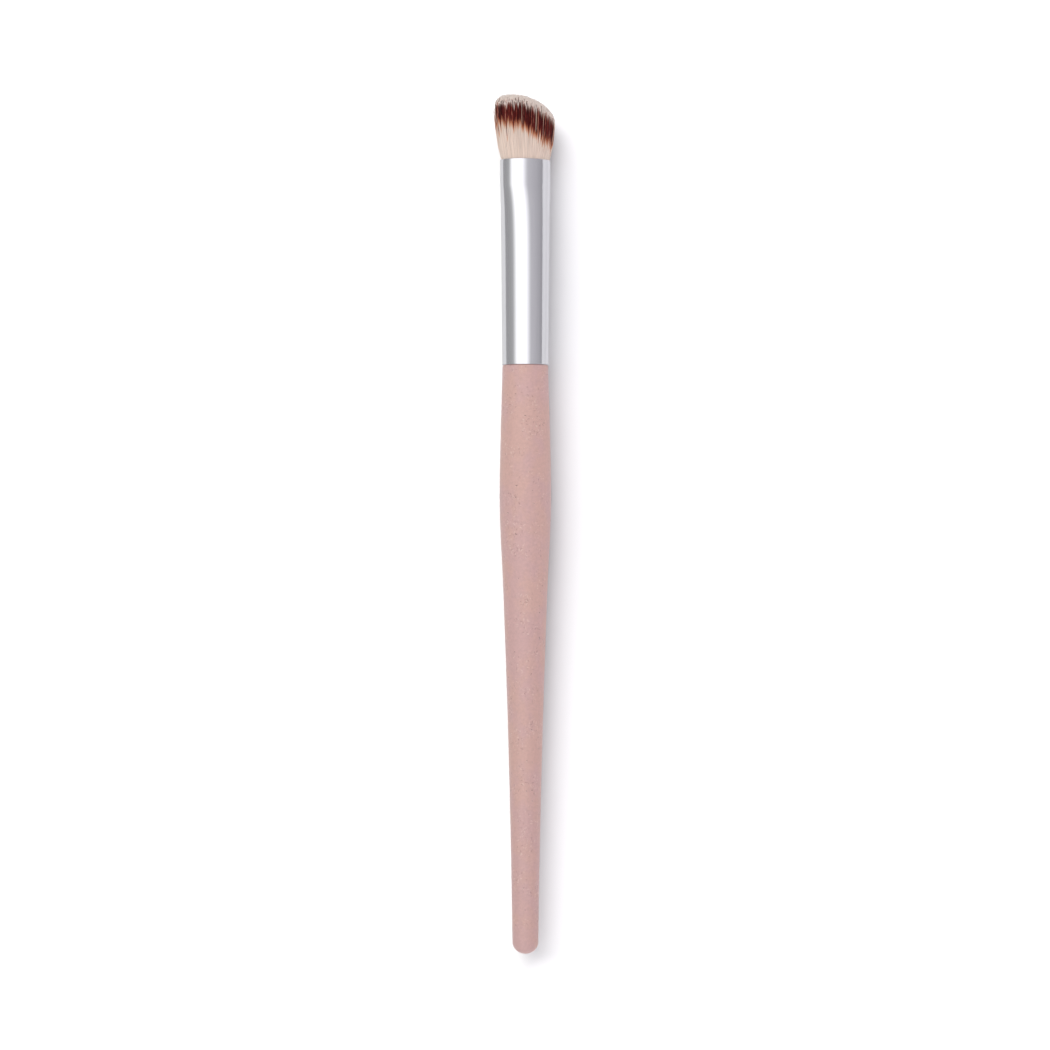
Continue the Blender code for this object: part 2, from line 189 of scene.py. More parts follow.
# Single filaments of the outer row, by where they stand round the mouth, in degrees. As the brush lies, its
# top is at 240, its left at 150 and its right at 330. Stray ones stand out by the first length and end short
# by the second, stained ones took hardly any dye, and hanging ones are dark further down. Lengths are in mm.
STRAYS = (
    (163, 0.5, 1.3),
    (157, 0.4, 2.0),
    (150, 0.34, 3.0),
    (170, 0.3, 0.5),
    (322, 0.24, 0.4),
    (338, 0.2, 1.1),
)
STAINED = (238, 267, 283)
HANGING = ((204, 3.4), (222, 1.0), (252, 1.3), (300, 0.5), (318, 1.0))

# How finely the pieces are divided. FERRULE_STEPS is below the press's run-out, along it and in the lip.
HANDLE_SIDES = 128
HANDLE_STEPS = 153
SHOULDER_STEPS = 7
BUTT_STEPS = 17
FERRULE_SIDES = 160
FERRULE_STEPS = (20, 37, 9)
EDGE_STEPS = 5
ROOT_SIDES = 96
RIM_SAMPLES = 1441
SHARP_FROM = math.radians(35)
BAKE_MAP = "OFBake"
MAP_EDGE = 0.008
FILAMENT_MAP_HALF = 0.003


def linear(red, green, blue):
    """The linear colour, with alpha, of an sRGB one in 0 to 255."""
    return (*(((c / 255 + 0.055) / 1.055) ** 2.4 for c in (red, green, blue)), 1.0)


def smooth_through(stations):
    """A function of x through the (x, y) stations, x rising, with no overshoot between them."""
    xs, ys = zip(*stations)
    slopes = [(ys[i + 1] - ys[i]) / (xs[i + 1] - xs[i]) for i in range(len(xs) - 1)]
    ends = [slopes[0]]
    for before, after in zip(slopes, slopes[1:]):
        ends.append(0.0 if before * after <= 0 else 2 * before * after / (before + after))
    ends.append(slopes[-1])

    def value(x):
        i = min(max(sum(x >= station for station in xs) - 1, 0), len(slopes) - 1)
        step = xs[i + 1] - xs[i]
        t = (x - xs[i]) / step
        return (
            (1 + 2 * t) * (1 - t) ** 2 * ys[i]
            + t * (1 - t) ** 2 * step * ends[i]
            + t * t * (3 - 2 * t) * ys[i + 1]
            + t * t * (t - 1) * step * ends[i + 1]
        )

    return value


def ferrule_half_axes(z, inset=0.0):
    """Half the long and the short width of the ferrule at this height, less an inset."""
    pressed = math.exp(min(z - LIP_START, 0.0) / PRESS_RUNOUT)
    middle = FERRULE_RADIUS + FERRULE_WIDENING * z / FERRULE_LENGTH - LIP_CRIMP * pressed
    return middle + LIP_PRESS * pressed - inset, middle - LIP_PRESS * pressed - inset


# Meshes


def oval(half_long, half_short, z, sides):
    """One ring of points, counter-clockwise seen from above."""
    turn = np.linspace(0, 2 * math.pi, sides, endpoint=False)
    return np.stack([half_long * np.cos(turn), half_short * np.sin(turn), np.full(sides, z)], 1)


def tube_mesh(name, rings, strips):
    """A mesh from ring to ring, with its bake map laid out in strips side by side.

    Each of strips is a number of ring steps. Rings of no size are merged to one point.
    """
    rings = np.array(rings)
    count, sides, _ = rings.shape
    mesh = bpy.data.meshes.new(name)
    row, side = np.meshgrid(np.arange(count - 1), np.arange(sides), indexing="ij")
    following = (side + 1) % sides
    start, above = row * sides, (row + 1) * sides
    faces = np.stack([start + side, start + following, above + following, above + side], -1)
    mesh.from_pydata(rings.reshape(-1, 3).tolist(), [], faces.reshape(-1, 4).tolist())
    run = np.concatenate([[0], np.cumsum(np.linalg.norm(np.diff(rings[:, 0], axis=0), axis=1))])
    low = np.zeros(count - 1)
    high = np.zeros(count - 1)
    strip_of = np.zeros(count - 1)
    start = 0
    for number, steps in enumerate(strips):
        end = start + steps
        span = run[end] - run[start]
        low[start:end] = (run[start:end] - run[start]) / span
        high[start:end] = (run[start + 1 : end + 1] - run[start]) / span
        strip_of[start:end] = number
        start = end
    left, right = side / sides, (side + 1) / sides
    across = np.stack([left, right, right, left], -1)
    along = np.stack([low[row], low[row], high[row], high[row]], -1)
    u = (strip_of[row][..., None] + MAP_EDGE + (1 - 2 * MAP_EDGE) * across) / len(strips)
    v = MAP_EDGE + (1 - 2 * MAP_EDGE) * along
    uv = np.stack([u, v], -1).reshape(-1, 2)
    layer = mesh.uv_layers.new(name=BAKE_MAP, do_init=False)
    layer.uv.foreach_set("vector", uv.astype(np.float32).ravel())
    bm = bmesh.new()
    bm.from_mesh(mesh)
    bmesh.ops.remove_doubles(bm, verts=bm.verts, dist=1e-7)
    bmesh.ops.recalc_face_normals(bm, faces=bm.faces)
    bm.to_mesh(mesh)
    bm.free()
    mesh.shade_smooth()
    mesh.set_sharp_from_angle(angle=SHARP_FROM)
    return mesh


def piece(name, mesh, surface, slot, *replaced):
    """An object of the brush, laid down where the CAD model lies, in place of the nodes named."""
    mesh.materials.append(surface)
    mesh.transform(LAID)
    made = bpy.data.objects.new(name, mesh)
    bpy.context.scene.collection.objects.link(made)
    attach(made, "root")
    if replaced:
        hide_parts(*replaced)
    return made


def handle_profile():
    """(radius, z) from the tenon's nose down to the tip of the butt, and the steps of each strip."""
    thick = ferrule_half_axes(0, FERRULE_WALL + TENON_FIT)[1]
    floor = thick - GROOVE_DEPTH
    nose = [(0, TENON_LENGTH), (thick - TENON_CHAMFER, TENON_LENGTH)]
    tenon = nose + [(thick, TENON_LENGTH - TENON_CHAMFER)]
    for middle in reversed(GROOVE_MIDDLES):
        top, bottom = middle + GROOVE_WIDTH / 2, middle - GROOVE_WIDTH / 2
        tenon += [(thick, top), (floor, top), (floor, bottom), (thick, bottom)]
    tenon.append((thick, -SEAT_GAP))
    radius_at = smooth_through([(below * MM, radius * MM) for below, radius in HANDLE_STATIONS])
    shoulder = [
        (
            radius_at(SHOULDER_ROUNDING) - SHOULDER_ROUNDING * (1 - math.sin(turn)),
            -SEAT_GAP - SHOULDER_ROUNDING * (1 - math.cos(turn)),
        )
        for turn in np.linspace(0, math.pi / 2, SHOULDER_STEPS)
    ]
    length = HANDLE_STATIONS[-1][0] * MM
    belows = np.linspace(SHOULDER_ROUNDING, length, HANDLE_STEPS)[1:]
    side = [(radius_at(below), -SEAT_GAP - below) for below in belows]
    end = HANDLE_STATIONS[-1][1] * MM
    butt = [
        (end * math.cos(turn), -SEAT_GAP - length - BUTT_ROUNDING * math.sin(turn))
        for turn in np.linspace(0, math.pi / 2, BUTT_STEPS)[1:-1]
    ]
    profile = tenon + shoulder + side + butt + [(0, -SEAT_GAP - length - BUTT_ROUNDING)]
    middle = len(side) // 3
    upper = len(tenon) + len(shoulder) + middle
    return profile, (upper, middle, len(profile) - 1 - upper - middle)


def make_handle():
    profile, strips = handle_profile()
    rings = [oval(radius, radius, z, HANDLE_SIDES) for radius, z in profile]
    piece("handle_body", tube_mesh("handle_body", rings, strips), handle_surface(), "handle", "handle")


def make_ferrule():
    """The tube with its edges broken, out from its base, up to the mouth and back down inside."""
    turns = np.linspace(0, math.pi / 2, EDGE_STEPS)
    run_start = LIP_START - PRESS_RUNOUTS * PRESS_RUNOUT
    ends = (FERRULE_EDGE, run_start, LIP_START, FERRULE_LENGTH - FERRULE_EDGE)
    heights = []
    for low, high, steps in zip(ends, ends[1:], FERRULE_STEPS):
        heights = heights[:-1] + list(np.linspace(low, high, steps))
    outer_base = [(FERRULE_EDGE * (1 - math.sin(t)), FERRULE_EDGE * (1 - math.cos(t))) for t in turns]
    outer_mouth = [
        (FERRULE_EDGE * (1 - math.cos(t)), FERRULE_LENGTH - FERRULE_EDGE * (1 - math.sin(t))) for t in turns
    ]
    outside = outer_base + [(0, z) for z in heights[1:-1]] + outer_mouth
    inside = [(FERRULE_WALL - inset, z) for inset, z in reversed(outside)]
    rings = [oval(*ferrule_half_axes(z, inset), z, FERRULE_SIDES) for inset, z in outside + inside]
    rings.append(rings[0])
    strips = (len(outside) - 1, len(inside) + 1)
    piece("ferrule_tube", tube_mesh("ferrule_tube", rings, strips), ferrule_surface(), "ferrule", "ferrule")


def spread(height):
    """How far the filaments have opened at this height above the mouth, against the mouth itself."""
    return 1 + FLARE * (1 - np.exp(-height / FLARE_LENGTH))


def tip_height(x, y, rim_share):
    """The cut, as height above the mouth. x and y are places at the mouth."""
    across = x * (1 + FLARE) + CREST_OFFSET
    deep = y * (1 + FLARE)
    bend = CREST_RADIUS_LONG * SLANT**2
    slanted = np.hypot(bend, SLANT * across) - bend
    domed = deep**2 / (2 * CREST_RADIUS_SHORT)
    rim = np.maximum(0.0, (rim_share - (1 - RIM_WIDTH)) / RIM_WIDTH)
    return TUFT_HEIGHT - slanted - domed - RIM_DROP * rim**RIM_POWER


def close_packed(half_long, half_short, pitch, shift, chance):
    """Places of a close-packed grid inside an oval, each up to shift off its place."""
    row_pitch = pitch * math.sqrt(3) / 2
    rows, columns = int(half_long / row_pitch) + 1, int(half_short / pitch) + 1
    row, column = np.meshgrid(np.arange(-rows, rows + 1), np.arange(-columns, columns + 1), indexing="ij")
    places = np.stack([row * row_pitch, (column + 0.5 * (row % 2)) * pitch], -1).reshape(-1, 2)
    places = places + chance.uniform(-shift, shift, places.shape)
    return places[np.hypot(places[:, 0] / half_long, places[:, 1] / half_short) <= 1]


def rim_row(half_long, half_short, pitch):
    """Places a pitch apart round an oval."""
    turns = np.linspace(0, 2 * math.pi, RIM_SAMPLES)
    run = np.hypot(np.diff(half_long * np.cos(turns)), np.diff(half_short * np.sin(turns)))
    run = np.concatenate([[0], np.cumsum(run)])
    count = round(run[-1] / pitch)
    at = np.interp(np.arange(count) * run[-1] / count, run, turns)
    return np.stack([half_long * np.cos(at), half_short * np.sin(at)], 1)


def dyed_band(along, rim_share, clump_band, chance):
    """How far below its own tip each filament's dark part begins and ends."""
    count = len(along)
    tops = np.interp(along, *zip(*BAND_TOPS)) + CLUMP_RAGGED[0] * clump_band[:, 0]
    tops += OWN_RAGGED[0] * chance.normal(0, 1, count)
    tops += CAP_DEPTH * (1 - rim_share**3)
    bottoms = np.interp(along, *zip(*BAND_BOTTOMS)) + CLUMP_RAGGED[1] * clump_band[:, 1]
    bottoms += OWN_RAGGED[1] * chance.normal(0, 1, count)
    bottoms += np.where(chance.uniform(0, 1, count) < FURTHER_SHARE, chance.exponential(FURTHER, count), 0)
    bottoms = np.clip(bottoms, *BOTTOM_LIMITS) * MM
    return np.clip(tops * MM, LEAST_CAP, bottoms - LEAST_BAND), bottoms


def filament_levels(tips, tops, bottoms):
    """The heights of each filament's rings above the mouth, from its root to its tip."""
    foot = np.maximum(tips - bottoms, LEAST_FOOT)
    return np.stack(
        [
            np.full(len(tips), -ROOT_DEPTH - FILAMENT_SUNK),
            np.zeros(len(tips)),
            foot * CREAM_RING,
            foot - np.minimum(BAND_FADE, foot * FADE_LIMIT),
            foot,
            (foot + tips - tops) / 2,
            tips - tops,
            tips - CAP_RING * tops,
            tips,
        ],
        1,
    )


def filament_places(base, middle, pull, drift, levels, chance):
    """The middles of each filament's rings: drawn to its clump, opened out, wavy and clear of the floor."""
    count = len(base)
    share = np.clip(levels / TUFT_HEIGHT, 0, 1)[..., None]
    opened = spread(np.maximum(levels, -ROOT_DEPTH))[..., None]
    place = base[:, None] + (middle - base)[:, None] * pull[:, None, None] * share**2
    sway = chance.normal(0, WANDER, (count, 1, 2))
    start = chance.uniform(*WANDER_STARTS, (count, 1, 1))
    wander = sway * np.sin(WANDER_TURN * share + start)
    place = place * opened + drift[:, None] * share + wander * share**0.5
    up = LAID[2]
    above = STAND.z + up[0] * place[..., 0] + up[1] * place[..., 1] + up[2] * (levels + FERRULE_LENGTH)
    sunk = np.maximum(FLOOR_ROOM - above, 0)[..., None]
    place = place + sunk * np.array([up[0], up[1]])
    return np.concatenate([place, FERRULE_LENGTH + levels[..., None]], -1)


def filament_lines(chance):
    """Every filament's ring middles (count, ring, 3), radii (count, ring) and map (count, ring, 2)."""
    inset = FERRULE_WALL + FILAMENT_RADIUS + FILAMENT_ROOM
    half_long, half_short = ferrule_half_axes(FERRULE_LENGTH, inset)
    rim = rim_row(half_long, half_short, FILAMENT_PITCH)
    inner_axes = (half_long - INNER_INSET, half_short - INNER_INSET)
    base = np.concatenate([rim, close_packed(*inner_axes, FILAMENT_PITCH, PLACE_SCATTER, chance)])
    count = len(base)
    rim_share = np.hypot(base[:, 0] / half_long, base[:, 1] / half_short)
    clumps = close_packed(half_long, half_short, CLUMP_PITCH, CLUMP_SCATTER, chance)
    clump = np.argmin(((base[:, None] - clumps) ** 2).sum(-1), axis=1)
    pull = chance.uniform(LEAST_PULL, 1.0, len(clumps))[clump] * CLUMP_PULL
    drift = chance.normal(0, CLUMP_DRIFT, (len(clumps), 2))[clump]
    drift = drift + chance.normal(0, OWN_DRIFT, (count, 2))
    clump_dye = chance.normal(0, 1, len(clumps))[clump]
    clump_band = chance.normal(0, 1, (len(clumps), 2))[clump]
    tips = tip_height(base[:, 0], base[:, 1], rim_share) - TIP_SHY
    tips -= TIP_SCATTER * chance.uniform(0, 1, count) ** TIP_POWER
    tops, bottoms = dyed_band(base[:, 0] / half_long, rim_share, clump_band, chance)
    dye = DYE_MIDDLE + DYE_SPREADS[0] * clump_dye + DYE_SPREADS[1] * chance.normal(0, 1, count)
    dye = np.clip(dye, *DYE_LIMITS)
    dye = np.where(chance.uniform(0, 1, count) < STAINED_SHARE, STAINED_DYE, dye)

    rim_turn = np.degrees(np.arctan2(rim[:, 1] / half_short, rim[:, 0] / half_long)) % 360
    for degrees, out, missing in STRAYS:
        nearest = np.argmin(abs(rim_turn - degrees))
        drift[nearest] = out * MM * rim[nearest] / np.linalg.norm(rim[nearest])
        tips[nearest] -= missing * MM
        dye[nearest] = STAINED_DYE
    for degrees in STAINED:
        dye[np.argmin(abs(rim_turn - degrees))] = STAINED_DYE
    for degrees, longer in HANGING:
        nearest = np.argmin(abs(rim_turn - degrees))
        bottoms[nearest] += longer * MM
        dye[nearest] = HANGING_DYE

    levels = filament_levels(tips, tops, bottoms)
    lines = filament_places(base, clumps[clump], pull, drift, levels, chance)
    radii = FILAMENT_RADIUS * (spread(levels) ** OPENING_POWER) * np.array(RING_THICKNESS)
    uv = np.stack([np.broadcast_to(dye[:, None], levels.shape), np.broadcast_to(RING_V, levels.shape)], -1)
    return lines, radii, uv


def filament_mesh(name, lines, radii, uv, chance):
    """Tapered filaments of few sides, each closed at both ends."""
    count, rings, _ = lines.shape
    sides = FILAMENT_SIDES
    turns = chance.uniform(0, 2 * math.pi, count)[:, None] + np.arange(sides) * 2 * math.pi / sides
    around = np.stack([np.cos(turns), np.sin(turns), np.zeros_like(turns)], -1)
    points = lines[:, :, None] + radii[:, :, None, None] * around[:, None]
    first = np.arange(count)[:, None, None] * rings * sides
    ring = np.arange(rings - 1)[None, :, None] * sides
    side = np.arange(sides)[None, None]
    following = (side + 1) % sides
    start, above = first + ring, first + ring + sides
    quads = np.stack([start + side, start + following, above + following, above + side], -1)
    starts = (np.arange(count) * rings * sides)[:, None]
    roots = starts + np.arange(sides)[::-1]
    ends = starts + (rings - 1) * sides + np.arange(sides)
    corners = np.concatenate([quads.ravel(), roots.ravel(), ends.ravel()])
    sizes = np.concatenate([np.full(quads.size // 4, 4), np.full(2 * count, sides)])
    mesh = bpy.data.meshes.new(name)
    mesh.vertices.add(points.size // 3)
    mesh.vertices.foreach_set("co", points.astype(np.float32).ravel())
    mesh.loops.add(len(corners))
    mesh.loops.foreach_set("vertex_index", corners.astype(np.int32))
    mesh.polygons.add(len(sizes))
    mesh.polygons.foreach_set("loop_start", np.concatenate([[0], np.cumsum(sizes)[:-1]]).astype(np.int32))
    mesh.update(calc_edges=True)
    vertex_uv = np.repeat(uv[:, :, None], sides, axis=2)
    vertex_uv[..., 0] += np.linspace(-FILAMENT_MAP_HALF, FILAMENT_MAP_HALF, sides)
    layer = mesh.uv_layers.new(name=BAKE_MAP, do_init=False)
    layer.uv.foreach_set("vector", vertex_uv.reshape(-1, 2)[corners].astype(np.float32).ravel())
    mesh.validate()
    mesh.shade_smooth()
    return mesh


def make_filaments():
    """The filaments in three pieces, from the long side of the tuft to the short one."""
    chance = np.random.default_rng(SEED)
    lines, radii, uv = filament_lines(chance)
    surface = filament_surface()
    order = np.argsort(lines[:, 1, 0], kind="stable")
    for name, chosen in zip(FILAMENT_PIECES, np.array_split(order, len(FILAMENT_PIECES))):
        mesh = filament_mesh(name, lines[chosen], radii[chosen], uv[chosen], chance)
        piece(name, mesh, surface, "filament", "bristle_tuft")


def make_bonded_root():
    """The filaments' roots, bonded to one solid and drawn in where the thread goes round.

    Each station is a height and how far the solid keeps inside the ferrule, or None for its axis.
    """
    top = FERRULE_LENGTH - ROOT_DEPTH
    bottom = top - ROOT_LENGTH
    waist = bottom + WAIST_ABOVE_ROOT_END
    full = FERRULE_WALL + ROOT_FIT
    stations = (
        (bottom, None),
        (bottom, full + ROOT_CHAMFER),
        (bottom + ROOT_CHAMFER, full),
        (waist - WAIST_HALF_LENGTH - WAIST_DEPTH, full),
        (waist - WAIST_HALF_LENGTH, full + WAIST_DEPTH),
        (waist + WAIST_HALF_LENGTH, full + WAIST_DEPTH),
        (waist + WAIST_HALF_LENGTH + WAIST_DEPTH, full),
        (LIP_START, full),
        (top, full),
        (top, None),
    )
    rings = []
    for z, inset in stations:
        half_axes = (0.0, 0.0) if inset is None else ferrule_half_axes(z, inset)
        rings.append(oval(*half_axes, z, ROOT_SIDES))
    mesh = tube_mesh("bonded_root", rings, (len(rings) - 1,))
    piece("bonded_root", mesh, plain_surface("bonded filament ends", ROOT_LOOK), "filament", "bristle_tuft")


# Materials


def add(tree, kind, inputs=None, **settings):
    """A new shader node. An input is a value, or the socket that feeds it."""
    made = tree.nodes.new("ShaderNode" + kind)
    for name, value in settings.items():
        setattr(made, name, value)
    for name, value in (inputs or {}).items():
        if isinstance(value, bpy.types.NodeSocket):
            tree.links.new(value, made.inputs[name])
        else:
            made.inputs[name].default_value = value
    return made


def calc(tree, operation, *values):
    return add(tree, "Math", dict(enumerate(values)), operation=operation).outputs[0]


def blended(tree, factor, one, other):
    return add(tree, "Mix", {0: factor, 6: one, 7: other}, data_type="RGBA").outputs[2]


def between(tree, value, low, high):
    """0 where the value is at low or under, 1 at high or over, smooth between them."""
    inputs = {"Value": value, "From Min": low, "From Max": high}
    return add(tree, "MapRange", inputs, interpolation_type="SMOOTHSTEP").outputs[0]


def spanned(tree, value, low, high, start=0.0, end=1.0):
    """low where the value is at start or under, high at end or over, straight between them."""
    inputs = {"Value": value, "From Min": start, "From Max": end, "To Min": low, "To Max": high}
    return add(tree, "MapRange", inputs).outputs[0]


def noise(tree, vector, scale, detail=2.0, roughness=0.5):
    inputs = {"Vector": vector, "Scale": scale, "Detail": detail, "Roughness": roughness}
    return add(tree, "TexNoise", inputs).outputs["Fac"]


def stretched(tree, vector, scale):
    return add(tree, "VectorMath", {0: vector, 1: scale}, operation="MULTIPLY").outputs[0]


def moved(tree, vector, shift):
    return add(tree, "VectorMath", {0: vector, 1: shift}).outputs[0]


def shaded(tree, colour, shade):
    return add(tree, "VectorMath", {0: colour, "Scale": shade}, operation="SCALE").outputs[0]


def specks(tree, vector, scale, size, share):
    """1 on small round spots, one in each of a share of cells, 0 elsewhere."""
    cells = add(tree, "TexVoronoi", {"Vector": vector, "Scale": scale})
    picked = add(tree, "SeparateColor", {0: cells.outputs["Color"]})
    near = between(tree, cells.outputs["Distance"], size, size * 0.4)
    return calc(tree, "MULTIPLY", near, calc(tree, "LESS_THAN", picked.outputs[0], share))


def new_surface(name, roughness, metallic=0.0):
    """(material, its tree, its shader, coordinates in which Y runs along the brush)."""
    made = bpy.data.materials.new(name)
    made.use_nodes = True
    tree = made.node_tree
    shader = tree.nodes["Principled BSDF"]
    shader.inputs["Roughness"].default_value = roughness
    shader.inputs["Metallic"].default_value = metallic
    return made, tree, shader, add(tree, "TexCoord").outputs["Object"]


def raise_surface(tree, shader, height, distance):
    bump = add(tree, "Bump", {"Height": height, "Distance": distance, "Strength": 1.0})
    tree.links.new(bump.outputs[0], shader.inputs["Normal"])


def strokes(tree, vector, scale, size, share, slimness):
    """Specks drawn out along the brush, and others across it."""
    along = specks(tree, stretched(tree, vector, (1, slimness, 1)), scale, size, share)
    across = specks(tree, stretched(tree, vector, (slimness, 1, slimness)), scale, size, share)
    return calc(tree, "MAXIMUM", along, across)


# The handle's colours: the lilac and the peach that it is mottled with, and its marks. The fibres' pale
# colour also paints a highlight on each pit's rim, and a darker colour paints shade in the hollow beside a
# raised fibre.
# It is a little darker at the butt than at the neck.
HANDLE_TONES = (linear(208, 170, 166), linear(211, 172, 162))
HOLLOW_SHADE_COLOUR = linear(150, 108, 102)
FIBRE_AND_HIGHLIGHT_COLOUR = linear(238, 213, 202)
PIT_COLOUR = linear(116, 80, 76)
BUTT_SHADE = 0.95
NECK_SHADE = 1.01
BUTT_PLACE = -85 * MM
NECK_PLACE = 30 * MM

# A pit's pale rim, a painted highlight where its edge would catch the light, and a fibre's hollow, painted
# shade beside the raised fibre, lie beside it, this far off.
PIT_RIM_HIGHLIGHT = (0.09 * MM, 0.11 * MM, 0)
HOLLOW_SHADE_SHIFT = (0.4 * MM, 0.3 * MM, 0)

# How often, how large and how many: cells a metre, size in a cell, share of the cells, and slimness.
PITS = (640, 0.12, 0.6)
DARK_STROKES = (520, 0.06, 0.4, 0.3)
SHADED_HOLLOWS = (2300, 0.3, 0.5, 0.4)
FIBRES = (2100, 0.3, 0.8, 0.4)


def handle_surface():
    """Satin dusty pink composite, mottled peach and lilac, under a fine grain.

    It has pits with painted highlights on their rims, a few dark strokes, and crowds of pale raised fibres
    and of hollow marks darkened as painted shade.
    """
    made, tree, shader, place = new_surface("dusty pink composite", 0.4)
    patches = noise(tree, stretched(tree, place, (1, 0.7, 1)), 300, 3.0, 0.55)
    drift = noise(tree, place, 75, 1.0)
    tone = calc(tree, "ADD", calc(tree, "MULTIPLY", patches, 0.65), calc(tree, "MULTIPLY", drift, 0.35))
    colour = blended(tree, between(tree, tone, 0.4, 0.6), *HANDLE_TONES)
    along = add(tree, "SeparateXYZ", {0: place}).outputs[1]
    fading = spanned(tree, along, BUTT_SHADE, NECK_SHADE, BUTT_PLACE, NECK_PLACE)
    grain = noise(tree, place, 1800, 3.0, 0.7)
    shade = calc(tree, "MULTIPLY", spanned(tree, grain, 0.935, 1.065, 0.3, 0.7), fading)
    colour = shaded(tree, colour, shade)

    bend = add(tree, "TexNoise", {"Vector": place, "Scale": 900.0, "Detail": 1.0}).outputs["Color"]
    bend_inputs = {0: bend, 1: (1.2 * MM,) * 3, 2: place}
    bent = add(tree, "VectorMath", bend_inputs, operation="MULTIPLY_ADD").outputs[0]
    crowded = between(tree, noise(tree, place, 230, 2.0), 0.45, 0.57)
    # The hollow marks beside the fibres are darkened as painted shade.
    shaded_hollow_mask = calc(tree, "MULTIPLY", strokes(tree, moved(tree, bent, HOLLOW_SHADE_SHIFT), *SHADED_HOLLOWS), crowded)
    colour = blended(tree, calc(tree, "MULTIPLY", shaded_hollow_mask, 0.4), colour, HOLLOW_SHADE_COLOUR)
    shown = calc(tree, "MULTIPLY_ADD", crowded, 0.9, 0.04)
    fibres = calc(tree, "MULTIPLY", strokes(tree, bent, *FIBRES), shown)
    # The pits' pale rims are a painted highlight, in the fibres' colour.
    pale = calc(tree, "MAXIMUM", fibres, specks(tree, moved(tree, bent, PIT_RIM_HIGHLIGHT), *PITS))
    colour = blended(tree, calc(tree, "MULTIPLY", pale, 0.42), colour, FIBRE_AND_HIGHLIGHT_COLOUR)
    pits = specks(tree, bent, *PITS)
    dark = calc(tree, "MAXIMUM", pits, strokes(tree, bent, *DARK_STROKES))
    colour = blended(tree, calc(tree, "MULTIPLY", dark, 0.6), colour, PIT_COLOUR)
    tree.links.new(colour, shader.inputs["Base Color"])
    tree.links.new(spanned(tree, patches, 0.33, 0.47), shader.inputs["Roughness"])

    waves = calc(tree, "MULTIPLY", noise(tree, place, 520), 1.2)
    relief = calc(tree, "ADD", calc(tree, "MULTIPLY", grain, 0.6), waves)
    relief = calc(tree, "ADD", relief, calc(tree, "MULTIPLY", pale, 1.2))
    sunk = calc(tree, "MULTIPLY", calc(tree, "ADD", pits, shaded_hollow_mask), 1.2)
    raise_surface(tree, shader, calc(tree, "SUBTRACT", relief, sunk), 0.02 * MM)
    return made


def ferrule_surface():
    """Polished aluminium with faint draw lines along the tube and fine wear."""
    made, tree, shader, place = new_surface("polished aluminium", 0.2, 1.0)
    lines = noise(tree, stretched(tree, place, (1, 0.02, 1)), 3200, 2.0, 0.6)
    wear = noise(tree, place, 260, 3.0, 0.6)
    tone = blended(tree, lines, linear(222, 222, 226), linear(230, 230, 233))
    tree.links.new(tone, shader.inputs["Base Color"])
    mixed = calc(tree, "ADD", calc(tree, "MULTIPLY", lines, 0.5), calc(tree, "MULTIPLY", wear, 0.5))
    tree.links.new(spanned(tree, mixed, 0.09, 0.17), shader.inputs["Roughness"])
    raise_surface(tree, shader, calc(tree, "ADD", lines, wear), 0.0012 * MM)
    return made


def ramp(tree, factor, stops):
    made = add(tree, "ValToRGB", {0: factor})
    elements = made.color_ramp.elements
    while len(elements) < len(stops):
        elements.new(0.5)
    for element, (position, colour) in zip(elements, stops):
        element.position = position
        element.color = colour
    return made.outputs[0]


# The filaments' colours. Along one, v on the map is 0.35 where the dye starts, 0.45 at the foot of the band,
# 0.75 at its top and 1 at the tip. The first stop of DYE_STARTS is also the cream below it. Within the band
# the colour goes from the least dyed filament to the darkest.
DYE_STARTS = (
    (0.33, linear(242, 222, 208)),
    (0.38, linear(226, 174, 142)),
    (0.43, linear(184, 108, 76)),
    (0.48, linear(146, 74, 52)),
)
DYES = (
    (0.08, linear(186, 124, 104)),
    (0.22, linear(142, 64, 52)),
    (0.38, linear(112, 36, 31)),
    (0.56, linear(90, 22, 22)),
    (0.74, linear(64, 14, 14)),
    (0.95, linear(42, 9, 9)),
)
CAP_COLOURS = ((0.72, linear(234, 204, 188)), (0.88, linear(250, 236, 227)), (1.0, linear(255, 244, 235)))
STAINED_COLOUR = linear(226, 186, 164)
STAINED_BELOW = 0.1
BAND_STARTS = (0.42, 0.5)
CAP_STARTS = (0.68, 0.84)


def filament_surface():
    """Cream filament, dyed dark along a band below its pale tip.

    v on the map runs along the filament, and u says how well it took the dye.
    """
    made, tree, shader, _ = new_surface("tapered filament", 0.45)
    shader.inputs["Specular IOR Level"].default_value = 0.12
    place = add(tree, "UVMap", uv_map=BAKE_MAP).outputs[0]
    parts = add(tree, "SeparateXYZ", {0: place})
    u, v = parts.outputs[0], parts.outputs[1]
    mottled = noise(tree, stretched(tree, place, (90, 11, 1)), 1.0, 1.0)
    depth = calc(tree, "ADD", u, calc(tree, "MULTIPLY_ADD", mottled, 0.7, -0.35))
    took_dye = calc(tree, "GREATER_THAN", u, STAINED_BELOW)
    dyed = blended(tree, took_dye, STAINED_COLOUR, ramp(tree, depth, DYES))
    colour = blended(tree, between(tree, v, *BAND_STARTS), ramp(tree, v, DYE_STARTS), dyed)
    colour = blended(tree, between(tree, v, *CAP_STARTS), colour, ramp(tree, v, CAP_COLOURS))
    streaks = noise(tree, stretched(tree, place, (1, 0.04, 1)), 60, 1.0)
    streaked = shaded(tree, colour, spanned(tree, streaks, 0.78, 1.08, 0.25, 0.7))
    tree.links.new(streaked, shader.inputs["Base Color"])
    return made


